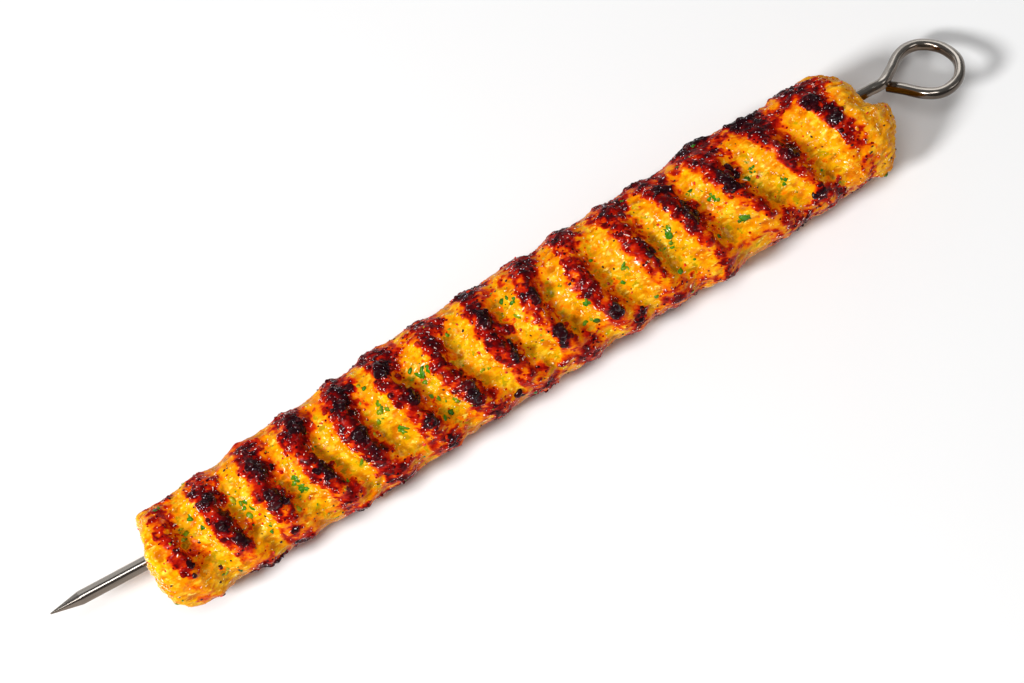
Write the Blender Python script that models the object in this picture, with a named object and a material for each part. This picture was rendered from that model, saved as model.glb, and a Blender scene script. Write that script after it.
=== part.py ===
"""Kofta skewer: one hand-pressed roll of minced meat on a loop-handled steel skewer.

The skewer runs along X, tip at -X and loop at +X. The roll rests on Z = 0.
Lengths in the constants are millimetres and are turned into metres when the
meshes are made.
"""
import math

import bmesh
import bpy
from mathutils import Vector, noise

MM = 0.001

# ---- meat roll ---------------------------------------------------------------
AXIS_HEIGHT = 16.5          # height of the roll's centre line above the plate
FRONT_ANGLE = 16.8          # degrees from straight up to the middle of the pressed side
UNDERSIDE_SQUASH = 0.015    # share of the radius lost on the underside
BODY_RADII = (              # (x, radius over the ridges)
    (-123.0, 13.9),
    (-112.0, 14.8),
    (-98.0, 15.6),
    (-84.0, 16.3),
    (-56.0, 17.3),
    (-20.0, 17.7),
    (28.0, 17.9),
    (66.0, 18.2),
    (98.0, 17.8),
    (108.0, 17.0),
    (124.0, 15.4),
)
AXIS_DRIFT = (              # (x, sideways wander of the roll's middle)
    (-112.0, -0.7),
    (-60.0, -0.4),
    (-28.0, 0.4),
    (30.0, 0.4),
    (60.0, 0.0),
    (110.0, 0.1),
)
RIDGES = (                  # finger ridge: middle, lean across the roll, bow
    (-114.3, 1.0, 3.0),
    (-99.9, 2.5, 4.0),
    (-85.0, 2.0, 3.5),
    (-71.0, 3.0, 5.5),
    (-56.8, 3.0, 6.5),
    (-40.5, 3.8, 4.0),
    (-26.4, 4.0, 7.0),
    (-11.4, 2.5, 6.5),
    (4.0, 2.5, 6.5),
    (19.0, 2.8, 6.5),
    (35.9, 2.6, 4.5),
    (52.5, 4.8, 0.5),
    (68.5, 8.0, 4.5),
    (86.2, 5.5, 2.5),
    (103.5, 2.6, -1.5),
)
RIDGE_BACK_SHIFT = 2.0      # how far a ridge wanders on the underside
GROOVE_DEPTH = 3.3          # finger groove at the middle of the pressed side
GROOVE_SPREAD = 0.5         # how much the depth differs from groove to groove
GROOVE_SIDE_SHARE = 0.40    # share of the depth left at the sides of the roll
GROOVE_BACK_SHARE = 0.75    # share of the depth on the underside
GROOVE_SKEW = 0.80          # below 1 the floor lies nearer the tip side of its pitch
GROOVE_SHARPNESS = 1.75     # above 1 the ridges are broader than the grooves
NEAR_END_X = -117.8         # end face on the tip side
NEAR_END_FLAP = (20.0, 64.0, -4.2)   # its fuller part: middle and spread in degrees, reach
FAR_END_X = 117.2           # end face on the loop side
FAR_END_FLAP = (38.0, 48.0, 4.5)
END_BLUNTNESS = 4.0         # superellipse exponent of the rounded ends
LUMPS = (                   # swelling: x, degrees round the roll, height, radius
    (70.0, -88.0, 1.6, 5.5),
    (-108.0, 86.0, 1.6, 5.0),
    (-90.0, 88.0, 0.9, 5.0),
    (-56.0, 86.0, 0.9, 7.0),
    (-38.0, -88.0, 0.8, 6.0),
    (58.0, 84.0, 0.8, 6.0),
    (114.0, 80.0, 2.0, 5.0),
    (92.0, 160.0, 0.9, 8.0),
    (-20.0, -140.0, 0.9, 8.0),
)
MEAN_RADIUS = 16.5          # turns an angle round the roll into a distance
SWELL = 0.5                 # height of the uneven swelling all over the roll
SWELL_LENGTH = 8.5
SWELL_RING = 16.0           # radius at which the swelling pattern is read
RING_POINTS = 36
RINGS_PER_RIDGE = 6
END_RINGS = 6

# ---- skewer ------------------------------------------------------------------
BAR_AT_TIP = 3.5            # width across the flats of the square bar
BAR_AT_LOOP = 3.15
BAR_CHAMFER_SHARE = 0.19    # corner chamfer as a share of the width
BAR_ROLL = 34.0             # degrees the bar is turned about its own length
BAR_HEIGHT = 16.8
TIP_X = -150.0
TIP_Y = 4.1
TIP_LENGTH = 9.0
TIP_POINT = 0.35
NEAR_Y = 1.5                # bar where it goes into the roll
NEAR_X = -118.0
FAR_X = 114.0               # bar where it comes out
FAR_Y = 5.3
NECK_X = 126.5              # bend between bar and loop
NECK_Y = 4.6
NECK_LENGTH = 4.5           # length of bar taken up by the bend
CHANNEL_GAP = 0.3           # clearance between bar and meat all round

LOOP_TURN = 34.1            # the loop's cross line, degrees from the bar
LOOP_TILT = 30.0            # degrees the loop's plane tips away from level
LOOP_NECK = (-12.1, -5.8)   # the neck bend measured from the loop's centre
LOOP_COURSE = (             # along the cross line, up the plane, off the plane
    (-9.2, 0.5, 0.0),
    (-6.9, 6.7, 0.0),
    (-3.8, 11.0, 0.0),
    (0.6, 13.0, 0.0),
    (6.3, 11.4, 0.0),
    (10.2, 5.6, 0.0),
    (10.2, -1.4, -0.3),
    (7.9, -5.7, -1.1),
    (4.1, -8.0, -1.8),
    (-0.5, -7.2, -2.5),
    (-5.6, -4.0, -3.4),
    (-10.0, -1.7, -4.1),
)
LOOP_STEPS = 6              # rings between two points of the course


def remove_all():
    for obj in list(bpy.data.objects):
        bpy.data.objects.remove(obj, do_unlink=True)


def interpolate(table, x):
    """Smoothly read a value from (x, value) pairs."""
    if x <= table[0][0]:
        return table[0][1]
    for (x0, v0), (x1, v1) in zip(table, table[1:]):
        if x <= x1:
            t = (x - x0) / (x1 - x0)
            return v0 + (v1 - v0) * t * t * (3.0 - 2.0 * t)
    return table[-1][1]


# ---- meat roll ---------------------------------------------------------------
def ridge_x(index, turn):
    """Where ridge number index crosses the direction turn (radians)."""
    middle, lean, bow = RIDGES[index]
    side = math.sin(turn)
    back = (0.5 - 0.5 * math.cos(turn)) ** 2
    wander = RIDGE_BACK_SHIFT * math.sin(1.7 * index) * back
    return middle + lean * side + bow * side * side + wander


def groove_reach(turn):
    """Share of the groove depth in the direction turn."""
    facing = math.cos(turn - math.radians(5.0))
    strength = facing if facing > 0.0 else -facing * GROOVE_BACK_SHARE
    return GROOVE_SIDE_SHARE + (1.0 - GROOVE_SIDE_SHARE) * strength


def lump_height(x, turn):
    total = 0.0
    for lump_x, degrees, height, radius in LUMPS:
        round_way = math.sin(0.5 * (turn - math.radians(degrees))) * 2.0 * MEAN_RADIUS
        if math.cos(turn - math.radians(degrees)) < 0.0:
            continue
        far = ((x - lump_x) ** 2 + round_way ** 2) / radius ** 2
        total += height * math.exp(-far)
    return total


def swelling(x, turn):
    across = Vector((0.0, math.cos(turn), math.sin(turn))) * SWELL_RING
    spot = (Vector((x, 0.0, 0.0)) + across) / SWELL_LENGTH
    return SWELL * (noise.noise(spot) + 0.5 * noise.noise(spot * 2.1 + Vector((7, 3, 1))))


def end_face_x(turn, near):
    """x of an end face: one part of each face reaches further than the rest."""
    middle, spread, reach = NEAR_END_FLAP if near else FAR_END_FLAP
    off = math.degrees(math.remainder(turn - math.radians(middle), 2.0 * math.pi))
    flap = reach * math.exp(-(off / spread) ** 4)
    return (NEAR_END_X if near else FAR_END_X) + flap


def surface_station(station, turn):
    """x and radius of the roll.

    station 0 is the first ridge and 14 the last; -1 and 15 are the middles of
    the two end faces. turn is the angle round the roll from the pressed side.
    """
    last = len(RIDGES) - 1
    if station < 0.0 or station > last:
        near = station < 0.0
        rim = 0 if near else last
        angle = min(abs(station - rim), 1.0) * math.pi / 2.0
        start = ridge_x(rim, turn)
        reach = math.sin(angle) ** (2.0 / END_BLUNTNESS)
        x = start + (end_face_x(turn, near) - start) * reach
        share = max(math.cos(angle), 0.0) ** (2.0 / END_BLUNTNESS)
        radius = interpolate(BODY_RADII, x) + lump_height(x, turn) + swelling(x, turn)
        return x, radius * share
    index = min(int(station), last - 1)
    part = station - index
    x = (1.0 - part) * ridge_x(index, turn) + part * ridge_x(index + 1, turn)
    floor = math.sin(math.pi * part ** GROOVE_SKEW) ** GROOVE_SHARPNESS if part < 1.0 else 0.0
    depth = GROOVE_DEPTH + GROOVE_SPREAD * math.sin(2.4 * index + 0.7)
    radius = interpolate(BODY_RADII, x) + lump_height(x, turn) + swelling(x, turn)
    return x, radius - depth * groove_reach(turn) * floor


def surface_point(station, turn):
    """Point on the roll in metres, flattened where it lies on the plate."""
    x, radius = surface_station(station, turn)
    angle = turn + math.radians(FRONT_ANGLE)
    up = math.cos(angle)
    if up < 0.0:
        radius *= 1.0 - UNDERSIDE_SQUASH * up * up
    y = interpolate(AXIS_DRIFT, x) - radius * math.sin(angle)
    z = max(AXIS_HEIGHT + radius * up, 0.0)
    return Vector((x, y, z)) * MM


def roll_stations():
    """Stations from one end to the other, without the two end points."""
    last = len(RIDGES) - 1
    stations = [-1.0 + i / END_RINGS for i in range(1, END_RINGS)]
    stations += [i / RINGS_PER_RIDGE for i in range(last * RINGS_PER_RIDGE + 1)]
    stations += [last + i / END_RINGS for i in range(1, END_RINGS)]
    return stations


def build_roll():
    """The meat: rings of points closed by a fan at each end."""
    bm = bmesh.new()
    rings = []
    for station in roll_stations():
        turns = [2.0 * math.pi * i / RING_POINTS for i in range(RING_POINTS)]
        rings.append([bm.verts.new(surface_point(station, turn)) for turn in turns])
    for ring, after in zip(rings, rings[1:]):
        bridge(bm, ring, after)
    for ring, near in ((rings[0], True), (rings[-1], False)):
        middle = sum((vert.co for vert in ring), Vector()) / len(ring)
        middle.x += (-0.4 if near else 0.4) * MM
        pole = bm.verts.new(middle)
        for i, vert in enumerate(ring):
            other = ring[(i + 1) % len(ring)]
            bm.faces.new((pole, vert, other) if near else (pole, other, vert))
    return finish_mesh(bm, "kofta")


# ---- skewer ------------------------------------------------------------------
def hidden_bar_y(x):
    """Gentle bow of the bar inside the meat, joining its two visible ends."""
    span = FAR_X - NEAR_X
    near_slope = (NEAR_Y - TIP_Y) / (NEAR_X - TIP_X)
    far_slope = (NECK_Y - FAR_Y) / (NECK_X - FAR_X)
    t = (x - NEAR_X) / span
    start = (1.0 + 2.0 * t) * (1.0 - t) ** 2 * NEAR_Y
    end = t * t * (3.0 - 2.0 * t) * FAR_Y
    slope_in = t * (1.0 - t) ** 2 * span * near_slope
    slope_out = t * t * (t - 1.0) * span * far_slope
    return start + end + slope_in + slope_out


def straight_course():
    """Bar from the point to the neck: (position, width, upward direction)."""
    roll = math.radians(BAR_ROLL)
    up = Vector((0.0, math.sin(roll), math.cos(roll)))
    course = [(Vector((TIP_X, TIP_Y, BAR_HEIGHT)), TIP_POINT, up)]
    slope = (NEAR_Y - TIP_Y) / (NEAR_X - TIP_X)
    shoulder = TIP_X + TIP_LENGTH
    for x in (shoulder, -131.0, NEAR_X):
        course.append((Vector((x, TIP_Y + slope * (x - TIP_X), BAR_HEIGHT)), None, up))
    steps = 14
    for i in range(1, steps):
        x = NEAR_X + (FAR_X - NEAR_X) * i / steps
        course.append((Vector((x, hidden_bar_y(x), BAR_HEIGHT)), None, up))
    slope = (NECK_Y - FAR_Y) / (NECK_X - FAR_X)
    for x in (FAR_X, 118.5):
        course.append((Vector((x, FAR_Y + slope * (x - FAR_X), BAR_HEIGHT)), None, up))
    return course


def loop_axes():
    turn = math.radians(LOOP_TURN)
    tilt = math.radians(LOOP_TILT)
    across = Vector((math.cos(turn), -math.sin(turn), 0.0))
    level = Vector((math.sin(turn), math.cos(turn), 0.0))
    normal = Vector((0.0, 0.0, math.cos(tilt))) + level * math.sin(tilt)
    return across, normal.cross(across), normal


def spline(points, steps):
    """Catmull-Rom curve through the points, carried on straight past both ends."""
    full = [points[0] * 2.0 - points[1]] + points + [points[-1] * 2.0 - points[-2]]
    curve = []
    for a, b, c, d in zip(full, full[1:], full[2:], full[3:]):
        for i in range(steps):
            t = i / steps
            curve.append(0.5 * (2.0 * b + (c - a) * t + (2.0 * a - 5.0 * b + 4.0 * c - d) * t * t
                                + (3.0 * b - a - 3.0 * c + d) * t ** 3))
    curve.append(points[-1])
    return curve


def loop_course():
    """Neck and loop: the end of the bar passes under the neck."""
    across, upward, normal = loop_axes()
    neck = Vector((NECK_X, NECK_Y, BAR_HEIGHT))
    centre = neck - across * LOOP_NECK[0] - upward * LOOP_NECK[1]
    slope = (NECK_Y - FAR_Y) / (NECK_X - FAR_X)
    points = [neck - Vector((NECK_LENGTH, NECK_LENGTH * slope, 0.0)), neck]
    for p, q, off in LOOP_COURSE:
        points.append(centre + across * p + upward * q + normal * off)
    return [(point, None, normal) for point in spline(points, LOOP_STEPS)]


def bar_width(x):
    t = (x - TIP_X) / (NECK_X - TIP_X)
    return BAR_AT_TIP + (BAR_AT_LOOP - BAR_AT_TIP) * min(max(t, 0.0), 1.0)


def section(centre, along, up, width):
    """Square section with chamfered corners, set square to the bar."""
    up = (up - along * up.dot(along)).normalized()
    side = along.cross(up)
    half = width / 2.0
    flat = half - width * BAR_CHAMFER_SHARE
    corners = ((half, flat), (flat, half), (-flat, half), (-half, flat),
               (-half, -flat), (-flat, -half), (flat, -half), (half, -flat))
    return [centre + side * a + up * b for a, b in corners]


def sweep(course, extra, name):
    """Solid swept along the course; extra is added to the width."""
    bm = bmesh.new()
    rings = []
    spots = [item[0] for item in course]
    for i, (spot, width, up) in enumerate(course):
        before = spots[max(i - 1, 0)]
        after = spots[min(i + 1, len(spots) - 1)]
        along = (after - before).normalized()
        wide = (bar_width(spot.x) if width is None else width) + extra
        rings.append([bm.verts.new(co * MM) for co in section(spot, along, up, wide)])
    for ring, after in zip(rings, rings[1:]):
        bridge(bm, ring, after)
    bm.faces.new(rings[0])
    bm.faces.new(list(reversed(rings[-1])))
    return finish_mesh(bm, name)


def build_skewer():
    course = straight_course()
    loop = loop_course()
    ease = 2 * LOOP_STEPS
    turned = []
    for i, (spot, width, up) in enumerate(loop):
        share = min(i / ease, 1.0)
        turned.append((spot, width, course[-1][2].lerp(up, share).normalized()))
    return sweep(course + turned, 0.0, "skewer")


def build_channel_cutter():
    course = [item for item in straight_course() if -131.0 <= item[0].x <= 123.0]
    course.append((Vector((127.0, NECK_Y, BAR_HEIGHT)), None, course[-1][2]))
    cutter = sweep(course, 2.0 * CHANNEL_GAP, "cut_channel")
    cutter.hide_render = True
    cutter.display_type = "WIRE"
    return cutter


# ---- shared ------------------------------------------------------------------
def bridge(bm, ring, after):
    count = len(ring)
    for i in range(count):
        j = (i + 1) % count
        bm.faces.new((ring[i], after[i], after[j], ring[j]))


def finish_mesh(bm, name):
    bmesh.ops.recalc_face_normals(bm, faces=bm.faces[:])
    mesh = bpy.data.meshes.new(name)
    bm.to_mesh(mesh)
    bm.free()
    obj = bpy.data.objects.new(name, mesh)
    bpy.context.scene.collection.objects.link(obj)
    return obj


def plain_material(name, colour, roughness, metallic):
    material = bpy.data.materials.new(name)
    material.use_nodes = True
    shader = material.node_tree.nodes["Principled BSDF"]
    shader.inputs["Base Color"].default_value = (*colour, 1.0)
    shader.inputs["Roughness"].default_value = roughness
    shader.inputs["Metallic"].default_value = metallic
    material.diffuse_color = (*colour, 1.0)
    return material


def grilled_meat():
    return plain_material("grilled_meat", (0.62, 0.22, 0.03), 0.45, 0.0)


def polished_steel():
    return plain_material("polished_steel", (0.42, 0.40, 0.38), 0.25, 1.0)


def stand_on_origin(objects, cutter):
    """Move everything so that the middle of the two solids is over the origin."""
    spots = [vert.co for obj in objects for vert in obj.data.vertices]
    middle_x = (min(co.x for co in spots) + max(co.x for co in spots)) / 2.0
    middle_y = (min(co.y for co in spots) + max(co.y for co in spots)) / 2.0
    for obj in (*objects, cutter):
        for vert in obj.data.vertices:
            vert.co.x -= middle_x
            vert.co.y -= middle_y


def cut_channel(obj, cutter):
    modifier = obj.modifiers.new("channel", "BOOLEAN")
    modifier.operation = "DIFFERENCE"
    modifier.solver = "EXACT"
    modifier.object = cutter


def shade(obj, smooth_angle):
    obj.data.shade_smooth()
    obj.data.set_sharp_from_angle(angle=math.radians(smooth_angle))


def main():
    remove_all()
    kofta = build_roll()
    skewer = build_skewer()
    cutter = build_channel_cutter()
    stand_on_origin((kofta, skewer), cutter)
    kofta.data.materials.append(grilled_meat())
    skewer.data.materials.append(polished_steel())
    shade(kofta, 60.0)
    shade(skewer, 25.0)
    cut_channel(kofta, cutter)


main()
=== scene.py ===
"""Looks of the kofta skewer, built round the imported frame.

Lengths in the constants are millimetres. The roll is described by a station
along it (0 is the first finger ridge, 14 the last) and by a turn, the angle
round it from the middle of its pressed side.
"""
import math
import random

import bmesh
import bpy
import numpy as np
from mathutils import Matrix, Vector, noise


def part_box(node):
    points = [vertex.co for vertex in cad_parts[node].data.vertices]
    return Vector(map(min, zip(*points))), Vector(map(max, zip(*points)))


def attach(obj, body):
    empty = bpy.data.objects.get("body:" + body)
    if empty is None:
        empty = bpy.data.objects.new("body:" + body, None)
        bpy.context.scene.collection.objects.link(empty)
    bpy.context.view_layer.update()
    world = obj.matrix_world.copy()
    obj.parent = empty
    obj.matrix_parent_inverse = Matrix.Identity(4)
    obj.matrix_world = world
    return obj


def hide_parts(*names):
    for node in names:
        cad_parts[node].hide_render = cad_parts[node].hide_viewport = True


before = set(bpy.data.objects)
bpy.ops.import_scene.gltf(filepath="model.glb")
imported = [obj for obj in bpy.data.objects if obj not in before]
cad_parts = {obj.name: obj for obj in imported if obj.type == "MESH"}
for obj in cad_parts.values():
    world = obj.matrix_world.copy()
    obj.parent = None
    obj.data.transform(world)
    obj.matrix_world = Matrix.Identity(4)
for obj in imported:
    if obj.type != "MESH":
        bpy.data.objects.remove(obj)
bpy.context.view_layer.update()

MM = 0.001

# ---- the roll's large shape, as in the CAD ------------------------------------
AXIS_HEIGHT = 16.5
FRONT_ANGLE = 16.8
UNDERSIDE_SQUASH = 0.015
BODY_RADII = (
    (-123.0, 13.9), (-112.0, 14.8), (-98.0, 15.6), (-84.0, 16.3), (-56.0, 17.3),
    (-20.0, 17.7), (28.0, 17.9), (66.0, 18.2), (98.0, 17.8), (108.0, 17.0),
    (124.0, 15.4),
)
AXIS_DRIFT = (
    (-112.0, -0.7), (-60.0, -0.4), (-28.0, 0.4), (30.0, 0.4), (60.0, 0.0), (110.0, 0.1),
)
RIDGES = (                  # middle, lean across the roll, bow
    (-114.3, 1.0, 3.0), (-99.9, 2.5, 4.0), (-85.0, 2.0, 3.5), (-71.0, 3.0, 5.5),
    (-56.8, 3.0, 6.5), (-40.5, 3.8, 4.0), (-26.4, 4.0, 7.0), (-11.4, 2.5, 6.5),
    (4.0, 2.5, 6.5), (19.0, 2.8, 6.5), (35.9, 2.6, 4.5), (52.5, 4.8, 0.5),
    (68.5, 8.0, 4.5), (86.2, 5.5, 2.5), (103.5, 2.6, -1.5),
)
RIDGE_BACK_SHIFT = 2.0
GROOVE_DEPTH = 3.3
GROOVE_SPREAD = 0.5
GROOVE_SIDE_SHARE = 0.40
GROOVE_BACK_SHARE = 0.75
GROOVE_SKEW = 0.80
GROOVE_SHARPNESS = 1.75
NEAR_END_X = -117.8
NEAR_END_FLAP = (20.0, 64.0, -4.2)
FAR_END_X = 117.2
FAR_END_FLAP = (38.0, 48.0, 4.5)
END_BLUNTNESS = 4.0
NEAR_BLUNTNESS = 7.0        # the near end is squarer in its looks
LUMPS = (                   # x, degrees round the roll, height, radius
    (70.0, -88.0, 1.6, 5.5), (-108.0, 86.0, 1.6, 5.0), (-90.0, 88.0, 0.9, 5.0),
    (-56.0, 86.0, 0.9, 7.0), (-38.0, -88.0, 0.8, 6.0), (58.0, 84.0, 0.8, 6.0),
    (114.0, 80.0, 2.0, 5.0), (92.0, 160.0, 0.9, 8.0), (-20.0, -140.0, 0.9, 8.0),
)
MEAN_RADIUS = 16.5
SWELL = 0.5
SWELL_LENGTH = 8.5
SWELL_RING = 16.0
LAST = len(RIDGES) - 1
NEAR_MIDDLE_X = -119.0      # x of the two end faces where the bar goes in
FAR_MIDDLE_X = 115.6
FAR_FLAP = 6.2              # the far face's lower part hangs out past its upper part
FAR_TEAR = (-2.6, 1.8)
FAR_UNDERCUT = 0.24
BAR_NEAR = (1.5, 16.8)      # y and z of the bar at the two end faces
BAR_FAR = (5.3, 16.8)

# ---- the skewer, as in the CAD model ---------------------------------------------
BAR_AT_TIP = 3.5            # width across the flats
BAR_AT_LOOP = 3.15
BAR_ROLL = 34.0             # degrees the bar is turned about its own length
TIP = (-150.0, 4.1)         # x and y of the point
TIP_LENGTH = 9.0
TIP_POINT = 0.35
NEAR_BAR_X = -118.0         # the bar bows gently between these two
FAR_BAR_X = 114.0
NECK = (126.5, 4.6)         # bend between bar and loop
NECK_LENGTH = 4.5
LOOP_TURN = 34.1            # the loop's cross line, degrees from the bar
LOOP_TILT = 30.0            # degrees the loop's plane tips away from level
LOOP_NECK = (-12.1, -5.8)   # the neck bend measured from the loop's centre
LOOP_COURSE = (             # along the cross line, up the plane, off the plane
    (-9.2, 0.5, 0.0), (-6.9, 6.7, 0.0), (-3.8, 11.0, 0.0), (0.6, 13.0, 0.0),
    (6.3, 11.4, 0.0), (10.2, 5.6, 0.0), (10.2, -1.4, -0.3), (7.9, -5.7, -1.1),
    (4.1, -8.0, -1.8), (-0.5, -7.2, -2.5), (-5.6, -4.0, -3.4), (-10.0, -1.7, -4.1))
LOOP_STEPS = 16             # rings between two points of the course
STEEL_COLUMNS = 56
CHAMFER_REACH = 1.62        # the chamfers' distance: both sides of a corner added up
EDGE_POWER = (22.0, 7.0)    # how crisp the edges are, at the point and at the loop

# ---- the skin's grid ----------------------------------------------------------
COLUMNS = 204
ROWS_PER_PITCH = 28
NEAR_ROWS = 30
FAR_ROWS = 44
NEAR_ROUNDING = 4.0         # length along X of each rounded end
FAR_ROUNDING = 14.0
HOLE_SHARE = 0.14           # radius of the hole round the bar, as a share
HOLE_DEPTH = 3.0
PULL_POWER = 1.6            # how the rows of an end draw in towards the bar
HOLE_ROWS = 4

# ---- how many loose pieces of each kind ----------------------------------------
CHAR_LUMPS = 1900
COAL_CHIPS = 360
BEADS = 6900
HERBS = 340
CHILLI = 260
PEPPER = 460

# ---- burnt places: x, turn in degrees, length, width round the roll, strength --
BURNT = (
    (69, -90, 9.0, 9.0, 1.2), (53, -11, 5.5, 6.0, 1.0), (87, -7, 5.5, 5.5, 1.1),
    (67, -11, 6.0, 6.0, 0.9), (88, 48, 5.5, 8.5, 1.1), (-39, 26, 4.0, 7.0, 0.9),
    (-7, -11, 5.0, 6.0, 0.8), (-84, -30, 5.5, 5.0, 1.0), (-85, 5, 6.0, 6.0, 1.0),
    (-70, 10, 5.5, 6.0, 0.9), (-57, -37, 5.5, 4.5, 1.0), (-42, -42, 5.0, 5.0, 0.9),
    (-100, -31, 4.0, 4.0, 0.8), (-100, 0, 4.0, 4.5, 0.8), (-99, 20, 3.5, 4.5, 0.8),
    (-70, -47, 4.5, 6.0, 0.9), (-56, -52, 5.0, 4.5, 0.8), (-57, 0, 4.5, 5.0, 0.6),
    (-39, -4, 5.0, 5.0, 0.8), (-25, 28, 5.0, 7.0, 0.8), (-11, -28, 4.5, 6.0, 0.9),
    (-10, 12, 4.0, 5.0, 0.8), (4, 23, 3.5, 7.0, 0.8), (4, -20, 4.0, 5.0, 0.6),
    (21, 33, 4.0, 5.0, 0.8), (37, 0, 4.0, 8.0, 0.6), (70, -23, 6.0, 5.0, 0.8),
    (51, -44, 6.0, 4.5, 0.8), (99, -35, 5.0, 5.0, 0.8), (102, -10, 5.0, 5.5, 0.8),
    (81, -71, 8.0, 6.0, 0.9), (-92, 88, 7.0, 5.0, 0.9), (-63, 69, 5.0, 4.0, 1.0),
    (-58, 88, 6.0, 4.0, 0.9), (-12, 65, 5.0, 4.5, 0.9), (2, 56, 4.0, 4.0, 0.9),
    (28, 56, 5.0, 5.0, 0.8), (54, 75, 5.5, 4.5, 0.9), (-115, 29, 2.0, 2.4, 1.0),
    (-110, -76, 6.0, 4.0, 0.8), (-107, 49, 2.8, 2.8, 1.0), (-114, 19, 2.0, 2.4, 0.8), (-85, 49, 3.0, 3.2, 0.9),
)
HIDDEN_BURNT = 34           # more of them on the side turned to the plate
ZONES = (                   # wide areas burnt more (or less) than their ridges
    (84, -74, 30.0, 11.0, 0.24), (-48, -78, 14.0, 7.0, 0.25), (-10, -85, 12.0, 5.0, 0.25),
    (30, -82, 14.0, 5.0, 0.25), (-92, 84, 12.0, 4.5, 0.30), (-58, 86, 10.0, 4.0, 0.30),
    (84, 80, 20.0, 4.0, 0.20), (-122, 60, 5.0, 24.0, -0.50), (-104, 58, 13.0, 7.0, -0.40),
    (-85, 52, 6.0, 5.0, -0.30), (103, 55, 5.0, 10.0, -0.30),
    (72, 22, 7.0, 9.0, -0.22), (57, 30, 6.0, 7.0, -0.18), (88, 22, 6.0, 6.0, -0.30),
    (-80, -86, 42.0, 6.0, -0.26), (-20, -88, 30.0, 6.0, -0.22), (20, -88, 26.0, 5.0, -0.18),
    (4, 2, 5.0, 5.0, -0.20), (-42, 2, 5.0, 6.0, -0.12), (34, 26, 6.0, 8.0, -0.12),
)
SIDE_FROM = (math.radians(36.0), math.radians(56.0))    # sides that lay to the coals
SIDE_TO = (math.radians(98.0), math.radians(122.0))
RIDGE_STRENGTH = (0.76, 1.0, 1.0, 1.0, 1.05, 1.0, 0.88, 0.92, 0.95, 0.85, 0.8, 0.95,
                  0.95, 0.95, 0.9)

# ---- herbs that stand out: x, turn in degrees, length, width, share of yellow ---
LARGE_HERBS = (             # bunches: x, degrees round the roll, length, width, tone
    (-33, -18, 5.0, 2.2, 0.2), (-48, -11, 3.6, 1.8, 0.5), (-78, 0, 3.2, 2.0, 0.2),
    (45, -4, 3.6, 2.8, 0.1), (66, 24, 4.2, 3.0, 0.2), (81, 14, 2.2, 1.6, 0.0),
    (15, 13, 2.8, 2.2, 0.1), (-60, 26, 3.4, 1.6, 0.3), (-46, 20, 3.2, 2.0, 0.2),
    (-107, -32, 2.0, 1.6, 0.1), (-2, -28, 2.0, 1.6, 0.1), (29, 4, 3.0, 1.8, 0.4),
    (75, -13, 2.0, 1.4, 0.0), (61, -9, 3.0, 2.4, 0.3), (-113, -62, 3.0, 1.2, 0.0),
    (-93, -8, 2.6, 2.0, 0.3), (-77, 14, 3.0, 1.6, 0.2), (-18, 18, 2.0, 1.4, 0.6),
)


# ---- numbers ------------------------------------------------------------------
def smooth_table(table, x):
    """Read (x, value) pairs smoothly at an array of x."""
    at = np.array([row[0] for row in table])
    value = np.array([row[1] for row in table])
    index = np.clip(np.searchsorted(at, x) - 1, 0, len(at) - 2)
    t = np.clip((x - at[index]) / (at[index + 1] - at[index]), 0.0, 1.0)
    return value[index] + (value[index + 1] - value[index]) * t * t * (3.0 - 2.0 * t)


def ramp(value, low, high):
    t = np.clip((value - low) / (high - low), 0.0, 1.0)
    return t * t * (3.0 - 2.0 * t)


def read_noise(points, size, seed):
    """Soft noise, about -1 to 1, with features of this size at the points."""
    spots = (points.reshape(-1, 3) / size + 11.7 * seed).tolist()
    values = np.array([noise.noise(spot) for spot in spots])
    return (values * 1.5).reshape(points.shape[:-1])


def read_cells(points, size, seed):
    """Nearest and next cell centre, in cell sizes, and a random value per cell."""
    spots = (points.reshape(-1, 3) / size + 7.3 * seed).tolist()
    near, after, chance = [], [], []
    for spot in spots:
        distances, centres = noise.voronoi(spot)
        near.append(distances[0])
        after.append(distances[1])
        chance.append(noise.cell(centres[0] * 91.7))
    shape = points.shape[:-1]
    return (np.array(near).reshape(shape), np.array(after).reshape(shape),
            np.array(chance).reshape(shape))


# ---- the roll's large shape ---------------------------------------------------
def ridge_x(index, turn):
    middle = np.array([row[0] for row in RIDGES])[index]
    lean = np.array([row[1] for row in RIDGES])[index]
    bow = np.array([row[2] for row in RIDGES])[index]
    side = np.sin(turn)
    back = (0.5 - 0.5 * np.cos(turn)) ** 2
    wander = RIDGE_BACK_SHIFT * np.sin(1.7 * index) * back
    return middle + lean * side + bow * side * side + wander


def groove_reach(turn):
    facing = np.cos(turn - math.radians(5.0))
    strength = np.where(facing > 0.0, facing, -facing * GROOVE_BACK_SHARE)
    return GROOVE_SIDE_SHARE + (1.0 - GROOVE_SIDE_SHARE) * strength


def lump_height(x, turn):
    total = np.zeros_like(x)
    for lump_x, degrees, height, radius in LUMPS:
        off = turn - math.radians(degrees)
        round_way = np.sin(0.5 * off) * 2.0 * MEAN_RADIUS
        far = ((x - lump_x) ** 2 + round_way ** 2) / radius ** 2
        total += np.where(np.cos(off) < 0.0, 0.0, height * np.exp(-far))
    return total


def swelling(x, turn):
    spots = np.stack([x, SWELL_RING * np.cos(turn), SWELL_RING * np.sin(turn)], -1)
    spots = spots.reshape(-1, 3) / SWELL_LENGTH
    coarse = [noise.noise(spot) for spot in spots.tolist()]
    fine = [noise.noise(spot) for spot in (spots * 2.1 + (7.0, 3.0, 1.0)).tolist()]
    return SWELL * (np.array(coarse) + 0.5 * np.array(fine)).reshape(x.shape)


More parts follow.
